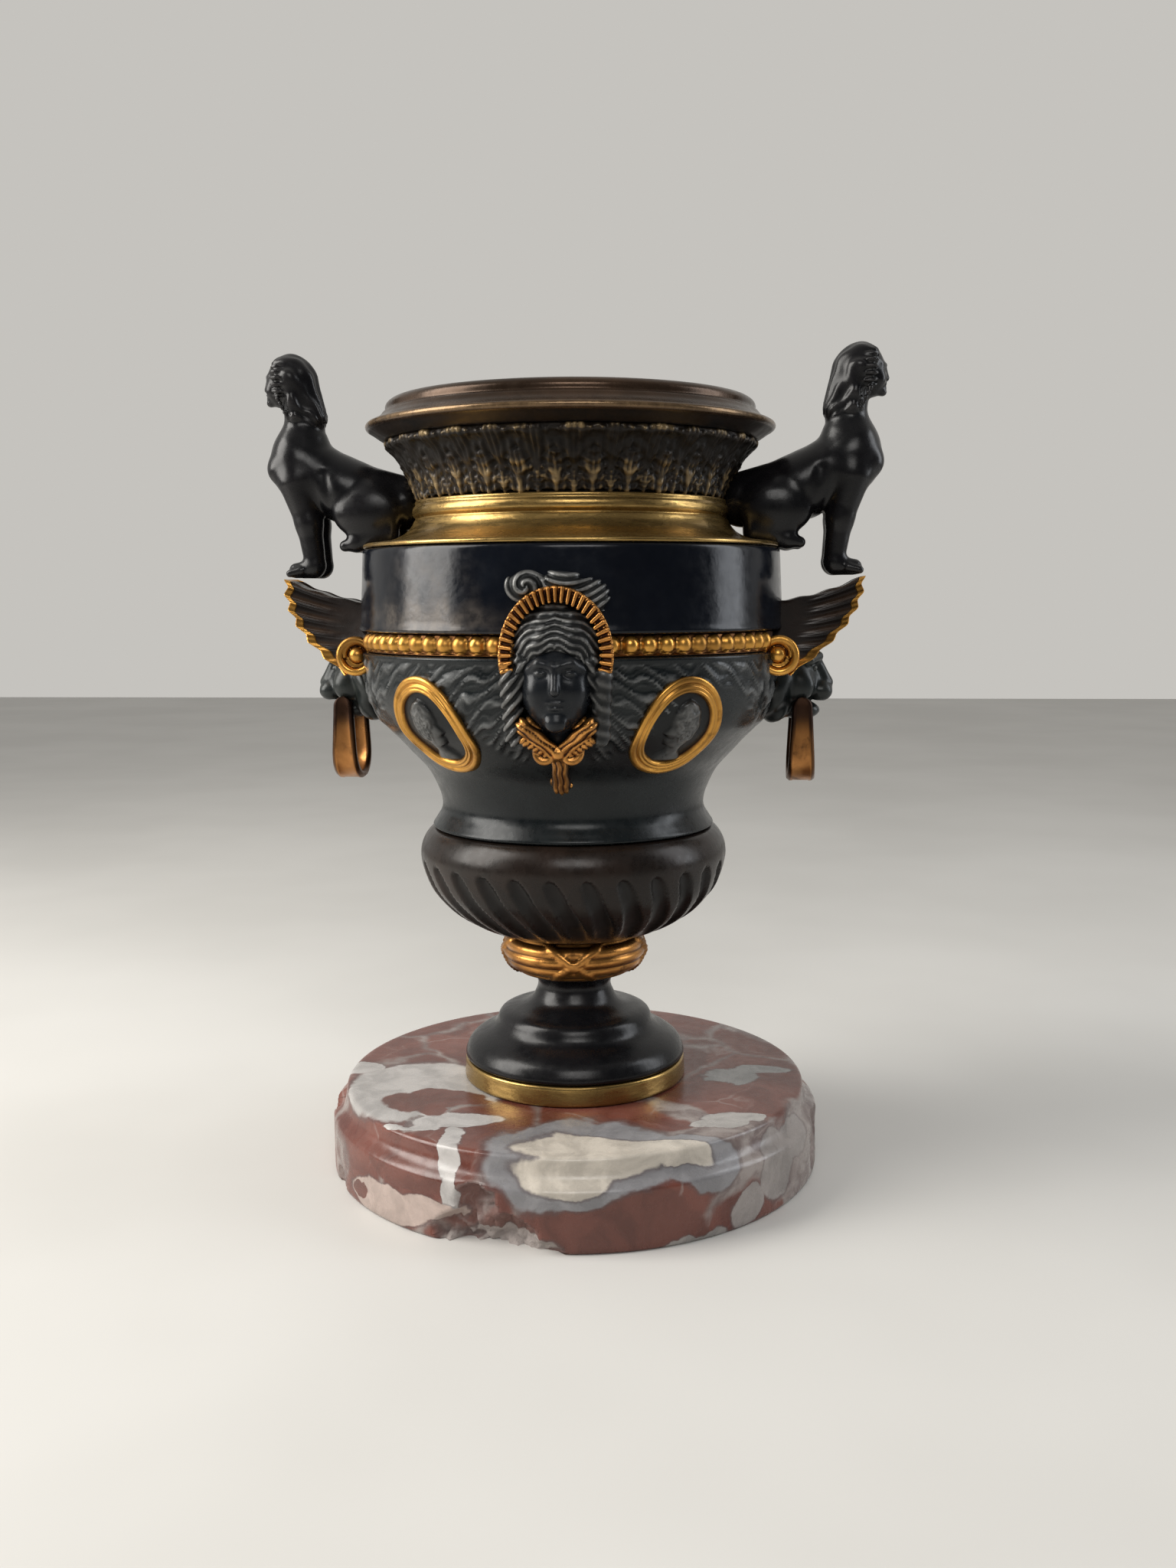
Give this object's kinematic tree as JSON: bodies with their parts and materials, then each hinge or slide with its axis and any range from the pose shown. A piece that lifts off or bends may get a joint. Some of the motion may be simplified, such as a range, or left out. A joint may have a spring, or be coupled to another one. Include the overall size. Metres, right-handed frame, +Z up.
{
  "type": "two-handled krater vase",
  "caption": "Footed krater-shaped display vase on a round stone plinth, open at the top, with seated-figure handles, hanging rings, relief masks and oval medallions.",
  "frame": {"origin": "centre of the plinth's underside", "axes": "+Z up along the vase's axis, handles along +X and -X, the front mask towards -Y"},
  "size_m": [0.2852, 0.23, 0.3773],
  "materials": {
    "marble": "polished red-brown marble with pale veins, chipped edges",
    "black_bronze": "black patinated bronze, satin",
    "green_bronze": "dark green patinated bronze, dusty in the hollows",
    "brown_bronze": "brown patinated bronze with worn highlights",
    "gilt": "worn gilding over brown",
    "brass": "polished brass, tarnished"
  },
  "bodies": {
    "root": {"marble_plinth": "marble", "foot": "black_bronze", "drum": "black_bronze", "sphinx_right": "black_bronze", "sphinx_left": "black_bronze", "body": "green_bronze", "lion_head_right": "green_bronze", "lion_head_left": "green_bronze", "mask_front": "green_bronze", "mask_back": "green_bronze", "bowl": "brown_bronze", "neck": "brown_bronze", "rim": "brown_bronze", "bracket_right": "brown_bronze", "bracket_left": "brown_bronze", "foot_ring": "gilt", "knop": "gilt", "bead_band": "gilt", "medallion_front_left": "gilt", "medallion_front_right": "gilt", "medallion_back_left": "gilt", "medallion_back_right": "gilt", "collar": "brass"},
    "ring_right": {"ring_right": "brown_bronze"},
    "ring_left": {"ring_left": "brown_bronze"}
  },
  "joints": [
    {"name": "right_ring_swing", "type": "hinge", "parent": "root", "child": "ring_right", "pos_m": [0.1055, 0, 0.2159], "axis": [0, -1, 0], "range_deg": [-3, 80]},
    {"name": "left_ring_swing", "type": "hinge", "parent": "root", "child": "ring_left", "pos_m": [-0.1055, 0, 0.2159], "axis": [0, 1, 0], "range_deg": [-3, 80]}
  ]
}
